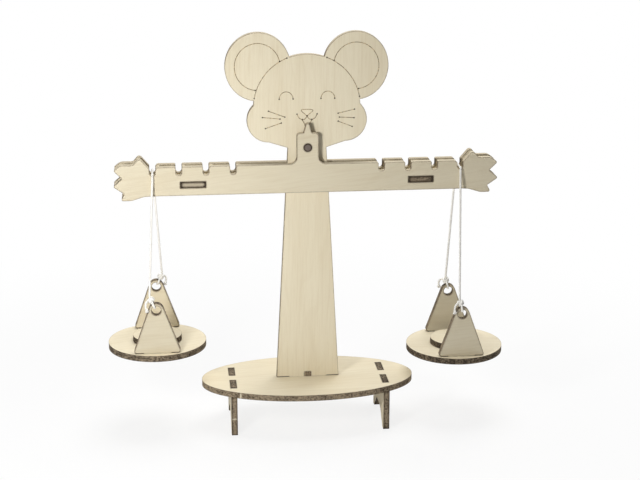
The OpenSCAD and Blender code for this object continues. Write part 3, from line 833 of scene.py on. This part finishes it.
class SCALETOY_OT_stage(Operator):
    """Sets up the camera, the pale floor and the soft lamps"""

    bl_idname = "scaletoy.stage"
    bl_label = "Stage"

    def execute(self, context):
        look = context.scene.scaletoy_stage
        scene = context.scene
        scene.view_settings.view_transform = "Standard"
        lens = bpy.data.cameras.new("Camera")
        lens.sensor_width = 36
        lens.lens = look.lens
        lens.clip_start, lens.clip_end = 0.01, 20
        camera = bpy.data.objects.new("Camera", lens)
        scene.collection.objects.link(camera)
        camera.location = look.eye
        camera.rotation_euler = (Vector(look.aim) - Vector(look.eye)).to_track_quat("-Z", "Y").to_euler()
        scene.camera = camera
        self.room(scene, look)
        self.floor(scene, look)
        for name, (power, size, place, aim) in LAMPS.items():
            self.lamp(scene, name, getattr(look, power), size, place, aim)
        return {"FINISHED"}

    def room(self, scene, look):
        scene.world = bpy.data.worlds.new("Room")
        scene.world.use_nodes = True
        tree = scene.world.node_tree
        tree.nodes.clear()
        wires = Wires(tree)
        even = wires.add("ShaderNodeBackground", {"Color": WHITE, "Strength": look.sky})
        white = wires.add("ShaderNodeBackground", {"Color": WHITE, "Strength": 1.0})
        both = wires.add("ShaderNodeMixShader", {0: wires.seen(), 1: even.outputs[0], 2: white.outputs[0]})
        wires.add("ShaderNodeOutputWorld", {"Surface": both.outputs[0]})

    def floor(self, scene, look):
        mesh = bpy.data.meshes.new("Floor")
        corners = [(FLOOR_HALF * x, FLOOR_HALF * y, 0) for x, y in ((-1, -1), (1, -1), (1, 1), (-1, 1))]
        mesh.from_pydata(corners, [], [(0, 1, 2, 3)])
        floor = bpy.data.objects.new("Floor", mesh)
        scene.collection.objects.link(floor)
        material = bpy.data.materials.new("Pale floor")
        material.use_nodes = True
        tree = material.node_tree
        tree.nodes.clear()
        wires = Wires(tree)
        lit = wires.add("ShaderNodeBsdfDiffuse", {"Color": colour(look.floor)})
        white = wires.add("ShaderNodeEmission", {"Color": WHITE, "Strength": 1.0})
        place = wires.add("ShaderNodeTexCoord").outputs["Object"]
        share = wires.smooth(wires.vector("LENGTH", place), *FLOOR_FADE, FLOOR_WHITE, 1.0)
        pale = wires.add("ShaderNodeMixShader", {0: share, 1: lit.outputs[0], 2: white.outputs[0]})
        both = wires.add("ShaderNodeMixShader", {0: wires.seen(), 1: lit.outputs[0], 2: pale.outputs[0]})
        wires.add("ShaderNodeOutputMaterial", {"Surface": both.outputs[0]})
        mesh.materials.append(material)

    def lamp(self, scene, name, power, size, place, aim):
        light = bpy.data.lights.new(name, "AREA")
        light.energy = power
        light.shape = "DISK"
        light.size = size
        lamp = bpy.data.objects.new(name, light)
        scene.collection.objects.link(lamp)
        lamp.visible_camera = False
        lamp.location = place
        lamp.rotation_euler = (Vector(aim) - Vector(place)).to_track_quat("-Z", "Y").to_euler()


class SCALETOY_OT_cords(Operator):
    """Makes the twisted cord of each pan with its two knots"""

    bl_idname = "scaletoy.cords"
    bl_label = "Cords and knots"

    def execute(self, context):
        look = context.scene.scaletoy_cord
        tree = twisted_cord_tree()
        white = cotton("Bleached cotton", look)
        sizes = {"Thickness": look.thickness, "Lay": look.lay, "Groove": look.groove, "Material": white}
        for side in ("left", "right"):
            body = side + "_pan"
            route = cord_route(side)
            cord = grown(side + "_twisted_cord", tree, [[(p, 1.0) for p in route]], **sizes)
            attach(cord, body)
            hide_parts(side + "_cord")
            for name, outward, lean in (("front", -1, LEANS[side][0]), ("rear", 1, LEANS[side][1])):
                knot = grown(
                    f"{side}_{name}_wound_knot", tree, knot_lines(side, outward, lean, look.turns), **sizes)
                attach(knot, body)
                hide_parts(f"{side}_{name}_knot")
        return {"FINISHED"}


class SCALETOY_OT_plates(Operator):
    """Gives every plate its plywood, with the grain turned to the plate"""

    bl_idname = "scaletoy.plates"
    bl_label = "Plywood plates"

    def execute(self, context):
        look = context.scene.scaletoy_plywood
        group = sheet_group()
        for order, name in enumerate(SHEETS):
            plate = frame["nodes"][name]
            plate.data.materials.clear()
            plate.data.materials.append(plywood(name, group, look, order))
        return {"FINISHED"}


class SCALETOY_OT_pin(Operator):
    """Gives the pin its dark end grain"""

    bl_idname = "scaletoy.pin"
    bl_label = "Pin"

    def execute(self, context):
        low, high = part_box("pivot_pin")
        pin = frame["nodes"]["pivot_pin"]
        pin.data.materials.clear()
        pin.data.materials.append(dowel("Dark dowel", (low + high) / 2))
        return {"FINISHED"}


class SCALETOY_OT_face(Operator):
    """Burns the drawing of the face into the head"""

    bl_idname = "scaletoy.face"
    bl_label = "Scorched face"

    def execute(self, context):
        look = context.scene.scaletoy_face
        low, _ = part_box("upright_panel")
        _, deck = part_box("base_plate")
        face = grown(
            "scorched_face", scorched_lines_tree(), face_strokes(),
            **{"Line width": look.line, "Spot width": look.dot, "Height": look.proud,
               "Face place": (0, low.y, deck.z), "Material": scorched("Scorched line", look)})
        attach(face, "stand")
        return {"FINISHED"}


class SCALETOY_PT_panel(Panel):
    """Lists the pieces and their settings"""

    bl_idname = "SCALETOY_PT_panel"
    bl_label = "Balance Scale"
    bl_space_type = "VIEW_3D"
    bl_region_type = "UI"
    bl_category = "Balance Scale"

    def draw(self, context):
        for operator, settings in (
            ("scaletoy.stage", "scaletoy_stage"),
            ("scaletoy.cords", "scaletoy_cord"),
            ("scaletoy.plates", "scaletoy_plywood"),
            ("scaletoy.pin", None),
            ("scaletoy.face", "scaletoy_face"),
        ):
            box = self.layout.box()
            box.operator(operator)
            for name in LOOKS[settings].__annotations__ if settings else ():
                box.prop(getattr(context.scene, settings), name)


LOOKS = {
    "scaletoy_plywood": PlywoodLook,
    "scaletoy_face": FaceLook,
    "scaletoy_cord": CordLook,
    "scaletoy_stage": StageLook,
}
CLASSES = (
    *LOOKS.values(),
    SCALETOY_OT_stage, SCALETOY_OT_cords, SCALETOY_OT_plates, SCALETOY_OT_pin, SCALETOY_OT_face,
    SCALETOY_PT_panel,
)


def register():
    for kind in CLASSES:
        bpy.utils.register_class(kind)
    for name, kind in LOOKS.items():
        setattr(bpy.types.Scene, name, PointerProperty(type=kind))


def unregister():
    for name in LOOKS:
        delattr(bpy.types.Scene, name)
    for kind in reversed(CLASSES):
        bpy.utils.unregister_class(kind)


def main():
    register()
    bpy.ops.scaletoy.stage()
    bpy.ops.scaletoy.cords()
    bpy.ops.scaletoy.plates()
    bpy.ops.scaletoy.pin()
    bpy.ops.scaletoy.face()


if __name__ == "__main__":
    main()
